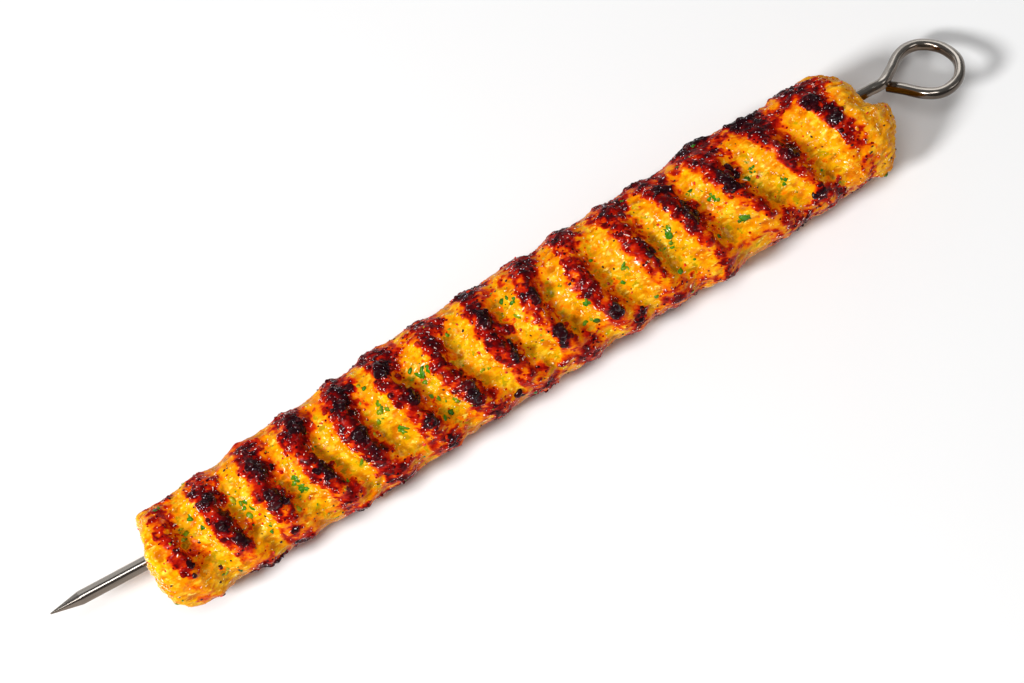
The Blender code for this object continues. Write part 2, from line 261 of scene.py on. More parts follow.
def end_face_x(turn, near):
    middle, spread, reach = NEAR_END_FLAP if near else FAR_END_FLAP
    off = np.degrees(turn) - middle
    off = (off + 180.0) % 360.0 - 180.0
    flap = reach * np.exp(-(off / spread) ** 4)
    return (NEAR_END_X if near else FAR_END_X) + flap


def outer_radius(x, turn):
    return smooth_table(BODY_RADII, x) + lump_height(x, turn) + swelling(x, turn)


def ridge_part(station, turn):
    """x, radius and depth share of the groove between the first and last ridge."""
    index = np.clip(station.astype(int), 0, LAST - 1)
    part = np.clip(station - index, 0.0, 1.0)
    x = (1.0 - part) * ridge_x(index, turn) + part * ridge_x(index + 1, turn)
    floor = np.clip(np.sin(math.pi * part ** GROOVE_SKEW), 0.0, 1.0) ** GROOVE_SHARPNESS
    depth = GROOVE_DEPTH + GROOVE_SPREAD * np.sin(2.4 * index + 0.7)
    radius = outer_radius(x, turn) - depth * groove_reach(turn) * floor
    return x, radius, floor


def end_part(angle, turn, near):
    """x, radius and radius share on an end face, angle 0 at the rim, pi/2 inside."""
    start = ridge_x(np.full(turn.shape, 0 if near else LAST), turn)
    blunt = NEAR_BLUNTNESS if near else END_BLUNTNESS
    share = np.clip(np.cos(angle), 0.0, 1.0) ** (2.0 / blunt)
    if near:
        calm = ramp(share, 0.05, 0.6)
        face = NEAR_MIDDLE_X + (end_face_x(turn, near) - NEAR_MIDDLE_X) * calm
    else:
        lifted = BAR_FAR[0] * ((1.0 - share) / (1.0 - HOLE_SHARE)) ** PULL_POWER
        down = MEAN_RADIUS * share * np.sin(turn) - lifted
        under = np.minimum(MEAN_RADIUS * share * np.cos(turn), 0.0)
        torn = ramp(down, *FAR_TEAR) * (1.0 - 0.3 * ramp(down, 6.0, 15.0))
        face = FAR_MIDDLE_X + FAR_FLAP * torn + FAR_UNDERCUT * under * (1.0 - torn)
    x = start + (face - start) * np.sin(angle) ** (2.0 / blunt)
    return x, outer_radius(x, turn) * share, share


def place(x, radius, turn, pull=0.0, bar=(0.0, 0.0)):
    """Points of the roll in millimetres; pull draws them towards the bar."""
    angle = turn + math.radians(FRONT_ANGLE)
    up = np.cos(angle)
    radius = np.where(up < 0.0, radius * (1.0 - UNDERSIDE_SQUASH * up * up), radius)
    y = smooth_table(AXIS_DRIFT, x)
    z = np.full_like(x, AXIS_HEIGHT)
    y = y + (bar[0] - y) * pull - radius * np.sin(angle)
    z = z + (bar[1] - z) * pull + radius * up
    return np.stack([x, y, z], -1)


def end_angles(near):
    """Angles that space the rows of an end evenly from its rim to the bar."""
    length, count = (NEAR_ROUNDING, NEAR_ROWS) if near else (FAR_ROUNDING, FAR_ROWS)
    blunt = NEAR_BLUNTNESS if near else END_BLUNTNESS
    last = math.acos(HOLE_SHARE ** (0.5 * blunt))
    angle = last * (1.0 - (1.0 - np.linspace(0.0, 1.0, 6000)) ** 3) ** 3
    reach = length * np.sin(angle) ** (2.0 / blunt)
    share = 14.5 * np.cos(angle) ** (2.0 / blunt)
    steps = np.hypot(np.diff(reach), np.diff(share))
    way = np.concatenate([[0.0], np.cumsum(steps)])
    return np.interp(np.linspace(0.0, way[-1], count + 1)[1:], way, angle)


def end_rows(turns, near):
    """Rows from just past the rim to the bar and on into the hole."""
    bar = BAR_NEAR if near else BAR_FAR
    rows = []
    for angle in end_angles(near):
        x, radius, share = end_part(np.full(turns.shape, angle), turns, near)
        pull = ((1.0 - share) / (1.0 - HOLE_SHARE)) ** PULL_POWER
        rows.append(place(x, radius, turns, pull, bar))
    lip = rows[-1]
    inward = 1.0 if near else -1.0
    centre = np.array([0.0, bar[0], bar[1]])
    for i in range(1, HOLE_ROWS + 1):
        t = i / HOLE_ROWS
        row = lip.copy()
        row[:, 0] += inward * HOLE_DEPTH * t
        row[:, 1:] = centre[1:] + (row[:, 1:] - centre[1:]) * (1.0 - 0.15 * t)
        rows.append(row)
    return np.array(rows)


# ---- the skin -----------------------------------------------------------------
def skin_grid():
    """Base points, station and turn of every vertex, rows from tip to loop side.

    Past the rims the station runs on by up to 1, reached inside the hole.
    """
    turns = np.arange(COLUMNS) * 2.0 * math.pi / COLUMNS
    count = LAST * ROWS_PER_PITCH
    station, turn = np.meshgrid(np.arange(count + 1) / ROWS_PER_PITCH, turns, indexing="ij")
    x, radius, floor = ridge_part(station, turn)
    near = end_rows(turns, True)[::-1]
    far = end_rows(turns, False)
    points = np.concatenate([near, place(x, radius, turn), far])
    near_way = np.arange(1, len(near) + 1)[::-1] / len(near)
    far_way = np.arange(1, len(far) + 1) / len(far)
    station = np.concatenate([np.repeat(-near_way[:, None], COLUMNS, 1), station,
                              np.repeat(LAST + far_way[:, None], COLUMNS, 1)])
    turn = np.broadcast_to(turns, station.shape).copy()
    floor = np.concatenate([np.zeros(near.shape[:2]), floor, np.zeros(far.shape[:2])])
    return points, station, turn, floor


def grid_normals(points):
    along = np.gradient(points, axis=0)
    around = np.roll(points, -1, axis=1) - np.roll(points, 1, axis=1)
    normal = np.cross(around, along)
    length = np.linalg.norm(normal, axis=-1, keepdims=True)
    return normal / np.maximum(length, 1e-9)


def crest_offset(points, station, turn):
    """Distance along X from the nearest ridge, and that ridge's number."""
    index = np.clip(np.rint(station), 0, LAST).astype(int)
    return points[..., 0] - ridge_x(index, turn), index


def patch(points, turn, x, degrees, length, width):
    """1 in the middle of an oval place on the roll, 0 at its rim, negative outside."""
    off = turn - math.radians(degrees)
    round_way = np.sin(0.5 * off) * 2.0 * MEAN_RADIUS
    far = ((points[..., 0] - x) / (0.5 * length)) ** 2 + (round_way / (0.5 * width)) ** 2
    return 1.0 - far


def hidden_patches():
    chance = random.Random(31)
    rows = []
    for k in range(HIDDEN_BURNT):
        index = k % len(RIDGES)
        degrees = chance.uniform(100.0, 262.0)
        x = float(ridge_x(np.array(index), np.array(math.radians(degrees))))
        x += chance.uniform(-1.5, 1.5)
        rows.append((x, degrees, chance.uniform(3.5, 6.5), chance.uniform(4.0, 7.0),
                     chance.uniform(0.6, 1.0)))
    return rows


def burn_map(points, station, turn, chance):
    """How burnt each point is: 0 orange, 0.3 red, 0.6 dark red, 1 black.

    Also how far inside a black place it is. chance, a random value for each
    grain, makes whole grains redder or paler than their neighbours.
    """
    offset, index = crest_offset(points, station, turn)
    down = ramp(np.sin(turn), 0.35, 0.9) * (np.cos(turn) > -0.2)
    along = points[..., 0]
    offset = offset + (1.3 + 1.2 * down) * (1.0 - 0.8 * ramp(along, 20.0, 60.0))
    offset = offset + 1.6 * down * ramp(-along, 20.0, 60.0)
    wide = 1.0 + 0.28 * read_noise(points, 8.0, 1) + 0.14 * read_noise(points, 2.4, 9)
    width = np.where(offset < 0.0, 3.6, 5.3) * wide
    width *= 1.0 - 0.30 * np.sin(turn) * ramp(along, 10.0, 60.0)
    band = np.exp(-(np.abs(offset) / width) ** np.where(offset < 0.0, 6.0, 2.4))
    band *= np.array(RIDGE_STRENGTH)[index]
    lower = ramp(np.sin(turn), 0.25, 0.75) * ramp(np.cos(turn), -0.1, 0.2)
    broken = ramp(read_noise(points, 5.0, 18), -0.5, 0.3)
    band *= 1.0 - lower * (0.30 + 0.25 * ramp(along, 0.0, 40.0)) * broken
    patchy = 0.17 * read_noise(points, 6.0, 2) + 0.21 * read_noise(points, 2.6, 3)
    halo = np.exp(-(offset / np.where(offset < 0.0, 4.5, 8.5)) ** 4)
    burn = -0.40 + 0.95 * band + 0.12 * halo + patchy
    burn += 0.035 * ramp(np.cos(turn), 0.6, 0.95) - 0.06 * lower
    off = np.abs(np.remainder(turn + math.pi, 2.0 * math.pi) - math.pi)
    edge = ramp(off, *SIDE_FROM) * (1.0 - ramp(off, *SIDE_TO))
    edge *= 0.55 + 0.45 * ramp(along, -105.0, -40.0)
    speckle = 0.9 * read_noise(points, 7.0, 10) + 0.6 * read_noise(points, 2.0, 14)
    edge *= 1.0 - 0.2 * ramp(np.sin(turn), 0.0, 0.8) * (1.0 - 2.0 * ramp(along, 0.0, 40.0))
    burn += 0.40 * edge * (1.0 - 0.75 * band) * (1.0 + speckle)
    for x, degrees, length, across, amount in ZONES:
        off = 1.0 - patch(points, turn, x, degrees, 2.0 * length, 2.0 * across)
        burn += amount * np.exp(-off)
    burn += (chance - 0.5) * (0.10 + 0.20 * ramp(burn, -0.4, 0.2))
    best = np.full(burn.shape, -1.0)
    ragged = 0.75 * read_noise(points, 2.8, 4) + 0.20 * (chance - 0.5)
    for x, degrees, length, across, amount in (*BURNT, *hidden_patches()):
        inside = patch(points, turn, x, degrees, length, across) + ragged
        best = np.maximum(best, np.clip(inside, -1.0, 0.8) * amount)
    burn = burn + np.clip(best + 0.35, 0.0, 0.9) * 0.6 * (1.0 - 0.25 * np.sin(turn) ** 8)
    far = ramp(station - LAST, 0.10, 0.32)
    upper = far * ramp(-np.sin(turn), 0.25, 0.75) * ramp(np.cos(turn), -0.3, 0.2)
    upper *= 1.0 - ramp(station - LAST, 0.40, 0.60)
    mottle = 0.30 * read_noise(points, 2.6, 15) + 0.20 * read_noise(points, 6.0, 16)
    burn += upper * (0.62 + mottle) - 0.9 * (far + ramp(-station, 0.06, 0.22))
    return burn, best


def mince(points, size, seed):
    """Small rounded grains pressed together, each a bit higher or lower."""
    near, after, chance = read_cells(points, size, seed)
    dome = np.sqrt(np.clip(1.0 - near ** 2, 0.0, 1.0))
    crease = ramp(after - near, 0.0, 0.25)
    return dome * (0.55 + 0.45 * crease) * (0.65 + 0.6 * chance) - 0.55, chance


def strands(points, size, seed):
    """Thin raised lines that wander over the paste."""
    return 1.0 - 2.6 * np.abs(read_noise(points, size, seed))


def end_settle(shape):
    """1 on the skin, easing to 0 at the lips of the two holes and inside them."""
    settle = np.ones(shape)
    ease = np.array([0.25, 0.5, 0.75])
    settle[:HOLE_ROWS + 1] = 0.0
    settle[-HOLE_ROWS - 1:] = 0.0
    settle[HOLE_ROWS + 1:HOLE_ROWS + 4] *= ease[:, None]
    settle[-HOLE_ROWS - 4:-HOLE_ROWS - 1] *= ease[::-1, None]
    return settle


def build_skin(shift):
    points, station, turn, floor = skin_grid()
    points = points + shift
    normal = grid_normals(points)
    grains, chance = mince(points, 1.45, 1)
    small, small_chance = mince(points, 0.95, 2)
    lumps, _ = mince(points, 3.1, 3)
    burn, black = burn_map(points, station, turn, chance)
    crust = ramp(burn, 0.0, 0.5)
    coal = ramp(black, -0.1, 0.4)
    soft = 0.30 * read_noise(points, 4.4, 6) + 0.20 * read_noise(points, 2.2, 7)
    lines = strands(points * (0.6, 1.0, 1.0), 2.4, 8)
    side = np.sin(turn) ** 4
    pressed = np.maximum(np.cos(turn), 0.0) ** 1.5
    cap = ramp(station, LAST + 0.05, LAST + 0.3) + 0.6 * ramp(-station, 0.05, 0.3)
    fibres = strands(points * (0.45, 1.0, 1.0), 1.7, 23)
    height = soft + lines * 0.16 * (1.0 - 0.6 * crust) + cap * (0.22 * fibres + 0.5 * soft)
    height += grains * (0.17 + 0.26 * crust)
    height += small * (0.09 + 0.16 * crust)
    height += lumps * 0.75 * crust * (1.0 - 0.4 * side) + 0.55 * coal - 0.05
    height += side * (0.35 * floor - 0.15 * crust)
    off = np.abs(np.remainder(turn + math.pi, 2.0 * math.pi) - math.pi)
    shoulder = ramp(off, 0.55, 0.90) * (1.0 - ramp(off, 1.10, 1.55))
    height += pressed * 0.45 * crust + 0.80 * floor * shoulder
    height -= 1.35 * floor ** 2 * ramp(np.cos(turn), 0.70, 0.95)
    points = points + normal * (height * end_settle(height.shape))[..., None]
    points[..., 2] = np.maximum(points[..., 2], 0.0)
    # rise: height of the grains and strands; the meat colour uses it for painted shade in hollows and painted
    # highlight on tops
    rise = 0.5 * grains + 0.8 * soft + 0.30 * lines + 0.3 * cap * fibres
    part = station - np.floor(station)
    # painted shade: a darker band on the slope just past each ridge, the side turned away from the key light
    lee_painted_shade = np.exp(-((part - 0.30) / 0.13) ** 2) * (0.4 + 0.6 * pressed)
    lee_painted_shade *= 0.9 + 0.6 * read_noise(points, 5.0, 12)
    looks = {"burn": burn, "floor": floor * groove_reach(turn), "rise": rise, "coal": coal,
             "top": pressed,
             "lee_painted_shade": np.clip(np.where(floor > 0.0, lee_painted_shade, 0.0), 0.0, 1.0),
             "far_cap": ramp(station, LAST - 0.1, LAST + 0.35)}
    return points, grid_normals(points), station, turn, looks


def roll_shift():
    """How far the CAD moved the roll to stand on the origin, from its box."""
    low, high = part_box("kofta")
    turns = np.arange(36) * 2.0 * math.pi / 36
    station, turn = np.meshgrid(np.arange(LAST * 6 + 1) / 6.0, turns, indexing="ij")
    x, radius, _ = ridge_part(station, turn)
    made = [place(x, radius, turn).reshape(-1, 3)]
    for near in (True, False):
        for i in range(1, 6):
            angle = np.full(turns.shape, i / 6.0 * math.pi / 2.0)
            start = ridge_x(np.full(turns.shape, 0 if near else LAST), turns)
            reach = np.sin(angle) ** (2.0 / END_BLUNTNESS)
            x = start + (end_face_x(turns, near) - start) * reach
            share = np.cos(angle) ** (2.0 / END_BLUNTNESS)
            made.append(place(x, outer_radius(x, turns) * share, turns))
    made = np.concatenate(made)
    middle = (np.array(low) + np.array(high)) / 2.0 / MM
    shift = middle - (made.min(0) + made.max(0)) / 2.0
    return np.array([shift[0], shift[1], 0.0])


def grid_mesh(name, points, looks):
    """Closed-round grid mesh with a bake map and one value per vertex and look."""
    rows, columns = points.shape[:2]
    index = np.arange(rows * columns).reshape(rows, columns)
    after = np.roll(index, -1, axis=1)
    faces = np.stack([index[:-1], index[1:], after[1:], after[:-1]], -1).reshape(-1, 4)
    mesh = bpy.data.meshes.new(name)
    mesh.from_pydata((points.reshape(-1, 3) * MM).tolist(), [], faces.tolist())
    u = np.arange(rows) / (rows - 1)
    v = np.arange(columns + 1) / columns
    corner_u = np.stack([u[:-1], u[1:], u[1:], u[:-1]], -1)[:, None, :]
    corner_v = np.stack([v[:-1], v[:-1], v[1:], v[1:]], -1)[None, :, :]
    shape = (rows - 1, columns, 4)
    pairs = np.stack([np.broadcast_to(corner_u, shape), np.broadcast_to(corner_v, shape)], -1)
    uv = mesh.uv_layers.new(name="OFBake")
    uv.data.foreach_set("uv", np.ascontiguousarray(pairs, np.float32).ravel())
    for key, values in looks.items():
        layer = mesh.attributes.new(key, "FLOAT", "POINT")
        layer.data.foreach_set("value", np.ascontiguousarray(values, np.float32).ravel())
    mesh.shade_smooth()
    obj = bpy.data.objects.new(name, mesh)
    bpy.context.scene.collection.objects.link(obj)
    return obj


# ---- skewer ---------------------------------------------------------------------
def bar_y(x):
    """Straight at both visible ends, with a gentle bow between them inside the meat."""
    near_slope = (BAR_NEAR[0] - TIP[1]) / (NEAR_BAR_X - TIP[0])
    far_slope = (NECK[1] - BAR_FAR[0]) / (NECK[0] - FAR_BAR_X)
    if x <= NEAR_BAR_X:
        return TIP[1] + near_slope * (x - TIP[0])
    if x >= FAR_BAR_X:
        return BAR_FAR[0] + far_slope * (x - FAR_BAR_X)
    span = FAR_BAR_X - NEAR_BAR_X
    t = (x - NEAR_BAR_X) / span
    start = (1.0 + 2.0 * t) * (1.0 - t) ** 2 * BAR_NEAR[0]
    end = t * t * (3.0 - 2.0 * t) * BAR_FAR[0]
    slope_in = t * (1.0 - t) ** 2 * span * near_slope
    slope_out = t * t * (t - 1.0) * span * far_slope
    return start + end + slope_in + slope_out


def spline(points, steps):
    """Catmull-Rom curve through the points, carried on straight past both ends."""
    full = [points[0] * 2.0 - points[1]] + points + [points[-1] * 2.0 - points[-2]]
    curve = []
    for a, b, c, d in zip(full, full[1:], full[2:], full[3:]):
        for i in range(steps):
            t = i / steps
            bend = (2.0 * a - 5.0 * b + 4.0 * c - d) * t * t + (3.0 * b - a - 3.0 * c + d) * t ** 3
            curve.append(0.5 * (2.0 * b + (c - a) * t + bend))
    curve.append(points[-1])
    return curve


def bar_course():
    """The whole bar, from the point to the loop's end: places and upward directions."""
    roll = math.radians(BAR_ROLL)
    up = Vector((0.0, math.sin(roll), math.cos(roll)))
    shoulder = TIP[0] + TIP_LENGTH
    stops = [TIP[0] + step for step in (0.0, 0.1, 0.4, 1.5, 3.0, 4.5, 6.0, 7.5)]
    stops += [shoulder + step for step in (-0.4, -0.15, 0.15, 0.4)]
    stops += np.linspace(shoulder + 2.0, NEAR_BAR_X, 12).tolist()
    stops += np.linspace(NEAR_BAR_X, FAR_BAR_X, 40)[1:].tolist()
    stops += np.linspace(FAR_BAR_X, NECK[0] - NECK_LENGTH, 8)[1:-1].tolist()
    course = [(Vector((x, bar_y(x), BAR_NEAR[1])), up) for x in stops]
    turn = math.radians(LOOP_TURN)
    tilt = math.radians(LOOP_TILT)
    across = Vector((math.cos(turn), -math.sin(turn), 0.0))
    level = Vector((math.sin(turn), math.cos(turn), 0.0))
    normal = Vector((0.0, 0.0, math.cos(tilt))) + level * math.sin(tilt)
    upward = normal.cross(across)
    neck = Vector((*NECK, BAR_NEAR[1]))
    centre = neck - across * LOOP_NECK[0] - upward * LOOP_NECK[1]
    slope = (NECK[1] - BAR_FAR[0]) / (NECK[0] - FAR_BAR_X)
    points = [neck - Vector((NECK_LENGTH, NECK_LENGTH * slope, 0.0)), neck]
    for p, q, off in LOOP_COURSE:
        points.append(centre + across * p + upward * q + normal * off)
    for i, spot in enumerate(spline(points, LOOP_STEPS)):
        share = min(i / (2.0 * LOOP_STEPS), 1.0)
        course.append((spot, up.lerp(normal, share).normalized()))
    return course, centre


def bar_half_width(x):
    t = min(max((x - TIP[0]) / (NECK[0] - TIP[0]), 0.0), 1.0)
    full = BAR_AT_TIP + (BAR_AT_LOOP - BAR_AT_TIP) * t
    point = TIP_POINT + (full - TIP_POINT) * min((x - TIP[0]) / TIP_LENGTH, 1.0)
    return 0.5 * point


def build_steel(shift):
    """The bar with rounded corners, and for each point how it faces the loop's middle."""
    course, centre = bar_course()
    course = [course[0]] * 2 + course + [course[-1]] * 2
    spots = [spot for spot, _ in course]
    angle = np.arange(STEEL_COLUMNS) * 2.0 * math.pi / STEEL_COLUMNS
    points = np.zeros((len(course), STEEL_COLUMNS, 3))
    inner = np.zeros(points.shape[:2])
    run = np.zeros(points.shape[:2])
    length = 0.0
    last = len(course) - 1
    for i, (spot, up) in enumerate(course):
        along = (spots[min(i + 3, last)] - spots[max(i - 3, 0)]) if i in (0, 1, last - 1, last) \
            else (spots[i + 1] - spots[i - 1])
        along.normalize()
        length += (spot - spots[max(i - 1, 0)]).length
        up = (up - along * up.dot(along)).normalized()
        side = along.cross(up)
        t = min(max((spot.x - TIP[0]) / (NECK[0] - TIP[0]), 0.0), 1.0)
        power = EDGE_POWER[0] + (EDGE_POWER[1] - EDGE_POWER[0]) * t
        drawn_in = (0.0, 0.93)[i] if i < 2 else (0.93, 0.0)[i - last + 1] if i > last - 2 else 1.0
        c, s = np.cos(angle), np.sin(angle)
        corner = (np.abs(c) + np.abs(s)) / CHAMFER_REACH
        limit = np.abs(c) ** power + np.abs(s) ** power + corner ** power
        reach = drawn_in * bar_half_width(spot.x) / limit ** (1.0 / power)
        outward = np.outer(c, side) + np.outer(s, up)
        points[i] = np.array(spot) + outward * reach[:, None]
        inner[i] = outward @ np.array((centre - spot).normalized())
        run[i] = length
    inner *= ramp(points[..., 0], 121.0, 127.0)
    around = np.broadcast_to(angle, run.shape)
    looks = {"inner": inner, "run": run,
             "around_c": np.cos(around), "around_s": np.sin(around)}
    return points + shift, looks


# ---- loose pieces on the skin -------------------------------------------------
def ball_shape():
    """Unit ball with 42 corners: corners and triangles."""
    bm = bmesh.new()
    bmesh.ops.create_icosphere(bm, subdivisions=2, radius=1.0)
    corners = np.array([vert.co[:] for vert in bm.verts])
    faces = np.array([[vert.index for vert in face.verts] for face in bm.faces])
    bm.free()
    return corners, faces


def dome_shape(sides=7):
    """Low open dome, two rings and a top: corners and triangles."""
    corners, faces = [(0.0, 0.0, 1.0)], []
    for reach, height in ((0.62, 0.74), (1.0, -0.1)):
        for k in range(sides):
            angle = 2.0 * math.pi * k / sides
            corners.append((reach * math.cos(angle), reach * math.sin(angle), height))
    for k in range(sides):
        j = (k + 1) % sides
        faces.append((0, 1 + k, 1 + j))
        faces.append((1 + k, 1 + sides + k, 1 + j))
        faces.append((1 + j, 1 + sides + k, 1 + sides + j))
    return np.array(corners), np.array(faces)


def flake_shape(sides=10):
    """Flat closed flake: top middle, bottom middle, top rim, bottom rim."""
    corners = [(0.0, 0.0, 1.0), (0.0, 0.0, -1.0)]
    for height in (1.0, -1.0):
        for k in range(sides):
            angle = 2.0 * math.pi * k / sides
            corners.append((math.cos(angle), math.sin(angle), height))
    faces = []
    for k in range(sides):
        j = (k + 1) % sides
        top, top_next, low, low_next = 2 + k, 2 + j, 2 + sides + k, 2 + sides + j
        faces += [(0, top, top_next), (1, low_next, low), (top, low, low_next),
                  (top, low_next, top_next)]
    return np.array(corners), np.array(faces)


def frames(normals, chance):
    """Two directions along the surface for each normal, turned at random."""
    start = np.tile(np.array([1.0, 0.0, 0.0]), (len(normals), 1))
    first = start - normals * (start * normals).sum(-1, keepdims=True)
    first /= np.maximum(np.linalg.norm(first, axis=-1, keepdims=True), 1e-6)
    second = np.cross(normals, first)
    spin = chance.uniform(0.0, 2.0 * math.pi, len(normals))[:, None]
    return (first * np.cos(spin) + second * np.sin(spin),
            second * np.cos(spin) - first * np.sin(spin))


def set_on_skin(shapes, spots, normals, chance):
    """Shapes (piece, corner, axis) in millimetres, stood on their spots."""
    first, second = frames(normals, chance)
    return (spots[:, None, :] + shapes[..., 0:1] * first[:, None, :]
            + shapes[..., 1:2] * second[:, None, :] + shapes[..., 2:3] * normals[:, None, :])


def joined_mesh(name, shapes, faces, plan, looks):
    """One mesh of many alike pieces, each with its own square in the bake map."""
    count, corners = shapes.shape[:2]
    points = shapes.reshape(-1, 3) * MM
    points[:, 2] = np.maximum(points[:, 2], 0.0)
    all_faces = (faces[None] + np.arange(count)[:, None, None] * corners).reshape(-1, 3)
    mesh = bpy.data.meshes.new(name)
    mesh.from_pydata(points.tolist(), [], all_faces.tolist())
    across = math.ceil(math.sqrt(count))
    cell = np.stack([np.arange(count) % across, np.arange(count) // across], -1)
    spot = (cell[:, None, :] + 0.5 + 0.42 * plan[None]) / across
    uv = mesh.uv_layers.new(name="OFBake")
    pairs = spot.reshape(-1, 2)[all_faces.ravel()]
    uv.data.foreach_set("uv", np.ascontiguousarray(pairs, np.float32).ravel())
    for key, values in looks.items():
        layer = mesh.attributes.new(key, "FLOAT", "POINT")
        layer.data.foreach_set("value", np.repeat(values, corners).astype(np.float32))
    mesh.shade_smooth()
    obj = bpy.data.objects.new(name, mesh)
    bpy.context.scene.collection.objects.link(obj)
    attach(obj, "root")
    return obj


class Skin:
    """The finished skin's vertices in rows, to choose places on."""

    def __init__(self, points, normals, station, turn, looks):
        keep = np.abs(station - LAST / 2.0) < LAST / 2.0 + 0.6
        self.points = points[keep]
        self.normals = normals[keep]
        self.turn = turn[keep]
        self.looks = {key: values[keep] for key, values in looks.items()}

    def choose(self, chance, count, weight):
        share = weight / weight.sum()
        return chance.choice(len(share), size=count, replace=False, p=share)

    def nearest(self, x, degrees):
        off = self.turn - math.radians(degrees)
        round_way = np.sin(0.5 * off) * 2.0 * MEAN_RADIUS
        return int(np.argmin((self.points[:, 0] - x) ** 2 + round_way ** 2))


def add_char(skin):
    """Small blistered lumps that the crust is made of, red to black."""
    chance = np.random.RandomState(5)
    corners, faces = ball_shape()
    burn = skin.looks["burn"]
    side = np.sin(skin.turn) ** 4
    pick = skin.choose(chance, CHAR_LUMPS, ramp(burn, 0.05, 0.6) * (1.0 - 0.75 * side))
    size = chance.uniform(0.35, 0.78, CHAR_LUMPS) * (1.0 - 0.3 * side[pick])
    squash = chance.uniform(0.7, 1.5, (CHAR_LUMPS, 1, 3))
    rough = chance.normal(0.0, 0.06, (CHAR_LUMPS, len(corners), 1))
    shapes = corners[None] * squash * (1.0 + rough) * size[:, None, None]
    shapes[..., 2] *= 0.8
    shapes[..., 2] -= (size * chance.uniform(0.2, 0.7, CHAR_LUMPS))[:, None]
    shapes = set_on_skin(shapes, skin.points[pick], skin.normals[pick], chance)
    tone = burn[pick] + chance.normal(0.02, 0.10, CHAR_LUMPS)
    obj = joined_mesh("char_lumps", shapes, faces, corners[:, :2], {"burn": tone, "top": skin.looks["top"][pick]})
    obj.data.materials.append(char_material("char_crust", 0.55))


def add_coal(skin):
    """Black glassy chips with flat faces where the crust burnt right through."""
    chance = np.random.RandomState(12)
    corners, faces = ball_shape()
    side = np.sin(skin.turn) ** 4
    weight = ramp(skin.looks["coal"], 0.3, 0.9) + 0.3 * ramp(skin.looks["burn"], 0.7, 1.0)
    pick = skin.choose(chance, COAL_CHIPS, weight * (1.0 - 0.8 * side))
    shapes = np.repeat(corners[None], COAL_CHIPS, 0)
    for _ in range(6):
        facing = chance.normal(0.0, 1.0, (COAL_CHIPS, 1, 3))
        facing /= np.linalg.norm(facing, axis=-1, keepdims=True)
        over = (shapes * facing).sum(-1, keepdims=True) - chance.uniform(0.5, 0.85)
        shapes = shapes - facing * np.maximum(over, 0.0)
    size = chance.uniform(0.6, 1.6, COAL_CHIPS) * (1.0 - 0.4 * side[pick])
    squash = chance.uniform(0.7, 1.4, (COAL_CHIPS, 1, 3))
    shapes = shapes * squash * size[:, None, None]
    shapes[..., 2] *= 0.5
    shapes[..., 2] -= (size * chance.uniform(0.1, 0.35, COAL_CHIPS))[:, None]
    shapes = set_on_skin(shapes, skin.points[pick], skin.normals[pick], chance)
    tone = 0.95 + chance.normal(0.0, 0.10, COAL_CHIPS)
    obj = joined_mesh("coal_chips", shapes, faces, corners[:, :2], {"burn": tone, "top": skin.looks["top"][pick]})
    obj.data.materials.append(char_material("coal", 0.85))


def add_beads(skin):
    """Beads of fat, coloured pale to stand as painted glints."""
    chance = np.random.RandomState(6)
    corners, faces = dome_shape()
    burn = skin.looks["burn"]
    # the painted glints gather where highlights would fall: raised grains and slopes turned to the key light at
    # -X, and the crust
    toward_key = ramp(-skin.normals[:, 0], -0.1, 0.5)
    weight = 0.15 + ramp(skin.looks["rise"], -0.1, 0.4) * toward_key + 0.9 * ramp(burn, 0.0, 0.6)
    weight = weight + 2.6 * ramp(-skin.normals[:, 0], 0.50, 0.85)
    weight = weight + 0.7 * skin.looks["far_cap"] * (skin.normals[:, 2] > 0.0)
    pick = skin.choose(chance, BEADS, weight)
    size = chance.uniform(0.07, 0.17, BEADS) * (1.0 + 0.7 * (chance.uniform(0, 1, BEADS) > 0.92))
    size *= 1.0 - 0.25 * ramp(burn[pick], 0.4, 0.8)
    shapes = np.repeat(corners[None], BEADS, 0) * size[:, None, None]
    shapes[..., :2] *= chance.uniform(0.45, 1.35, (BEADS, len(corners), 1))
    shapes[..., 0] *= (1.0 + 2.6 * chance.uniform(0.0, 1.0, BEADS) ** 2)[:, None]
    shapes[..., 2] *= 0.5
    shapes = set_on_skin(shapes, skin.points[pick] + skin.normals[pick] * 0.05,
                         skin.normals[pick], chance)
    obj = joined_mesh("fat_beads_painted_glints", shapes, faces, corners[:, :2],
                      {"tone": chance.uniform(0.0, 1.0, BEADS), "burn": burn[pick]})
    obj.data.materials.append(bead_material())


def flakes(chance, length, width, thick):
    """Irregular flakes of these sizes (arrays), slightly curled."""
    corners, faces = flake_shape()
    count = len(length)
    sides = (len(corners) - 2) // 2
    shapes = np.repeat(corners[None], count, 0)
    ragged = chance.uniform(0.62, 1.1, (count, sides, 1))
    shapes[:, 2:2 + sides, :2] *= ragged
    shapes[:, 2 + sides:, :2] *= ragged
    shapes[..., 0] *= (0.5 * length)[:, None]
    shapes[..., 1] *= (0.5 * width)[:, None]
    shapes[..., 2] *= (0.5 * thick)[:, None]
    curl = chance.uniform(-0.10, 0.16, count)[:, None]
    shapes[..., 2] += curl * shapes[..., 0] ** 2 / np.maximum(length, 0.5)[:, None]
    return shapes, faces, corners[:, :2]


